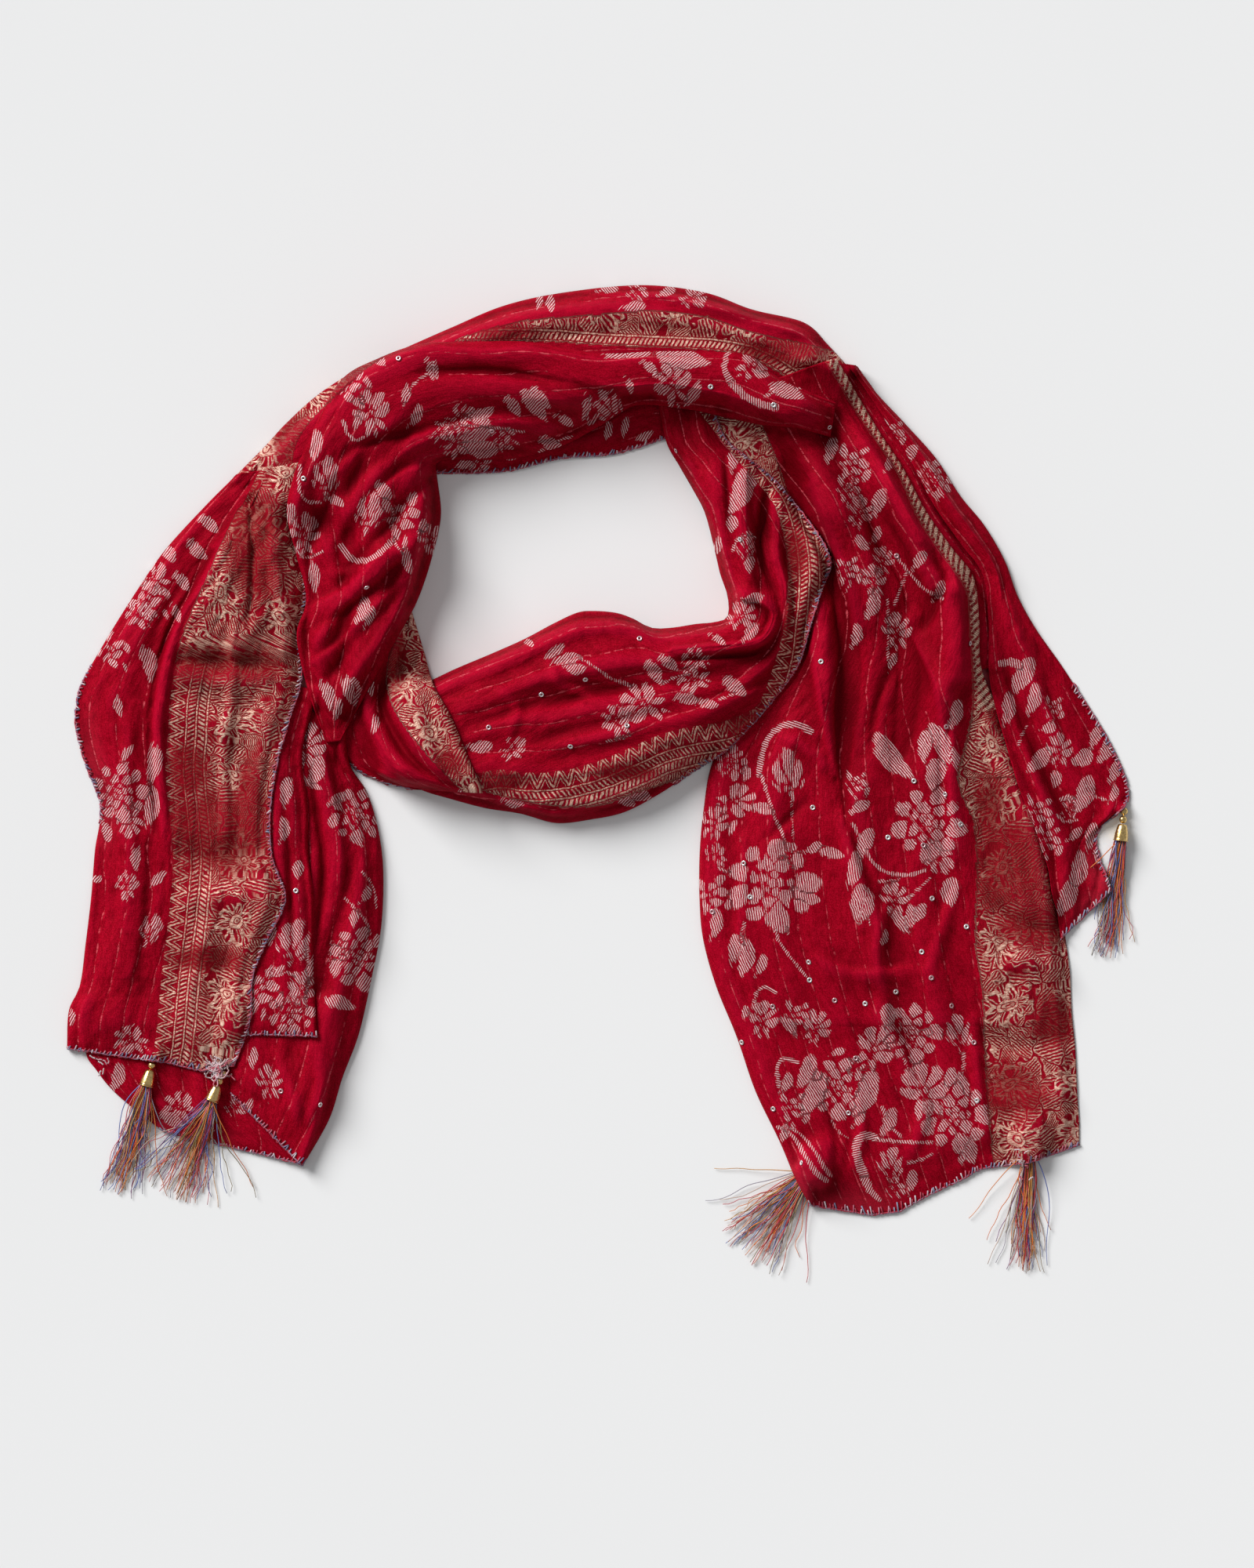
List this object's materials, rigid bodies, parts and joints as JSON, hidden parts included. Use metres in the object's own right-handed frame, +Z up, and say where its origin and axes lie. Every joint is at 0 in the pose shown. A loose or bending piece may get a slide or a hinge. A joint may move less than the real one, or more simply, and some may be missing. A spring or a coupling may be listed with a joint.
{
  "type": "zari scarf",
  "caption": "Long silk scarf with woven gold borders and tassels, wound once into a neck loop and laid flat.",
  "frame": {"origin": "centre of the laid scarf on the surface that it lies on", "axes": "+Z up from the surface, +Y towards the neck loop, +X towards the wearer's left tail as laid (right in plan)"},
  "size_m": [0.5706, 0.5336, 0.0295],
  "materials": {
    "silk_cloth": "crimson silk with pale woven flowers, soft sheen",
    "tassel_thread": "mixed coloured threads",
    "brass_trim": "polished gold-coloured brass"
  },
  "bodies": {
    "root": {"layers_top_arc": "silk_cloth", "layers_front_loop": "silk_cloth", "layers_left_tail": "silk_cloth", "layers_right_tail": "silk_cloth", "ring_inner_hem": "silk_cloth", "top_arc_back": "silk_cloth", "right_tail_front": "silk_cloth", "right_tail_outer": "silk_cloth", "front_loop": "silk_cloth", "loop_left_end": "silk_cloth", "left_tail_back": "silk_cloth", "left_tail_side": "silk_cloth", "left_tail_middle": "silk_cloth", "left_tail_front": "silk_cloth", "top_arc_front": "silk_cloth", "tassel_left_outer_cap": "brass_trim", "tassel_left_outer_beads": "brass_trim", "tassel_left_outer_threads": "tassel_thread", "tassel_left_inner_cap": "brass_trim", "tassel_left_inner_beads": "brass_trim", "tassel_left_inner_threads": "tassel_thread", "tassel_right_corner_cap": "brass_trim", "tassel_right_corner_beads": "brass_trim", "tassel_right_corner_threads": "tassel_thread", "tassel_right_hem_left_cap": "brass_trim", "tassel_right_hem_left_beads": "brass_trim", "tassel_right_hem_left_threads": "tassel_thread", "tassel_right_hem_right_cap": "brass_trim", "tassel_right_hem_right_beads": "brass_trim", "tassel_right_hem_right_threads": "tassel_thread"}
  },
  "joints": []
}
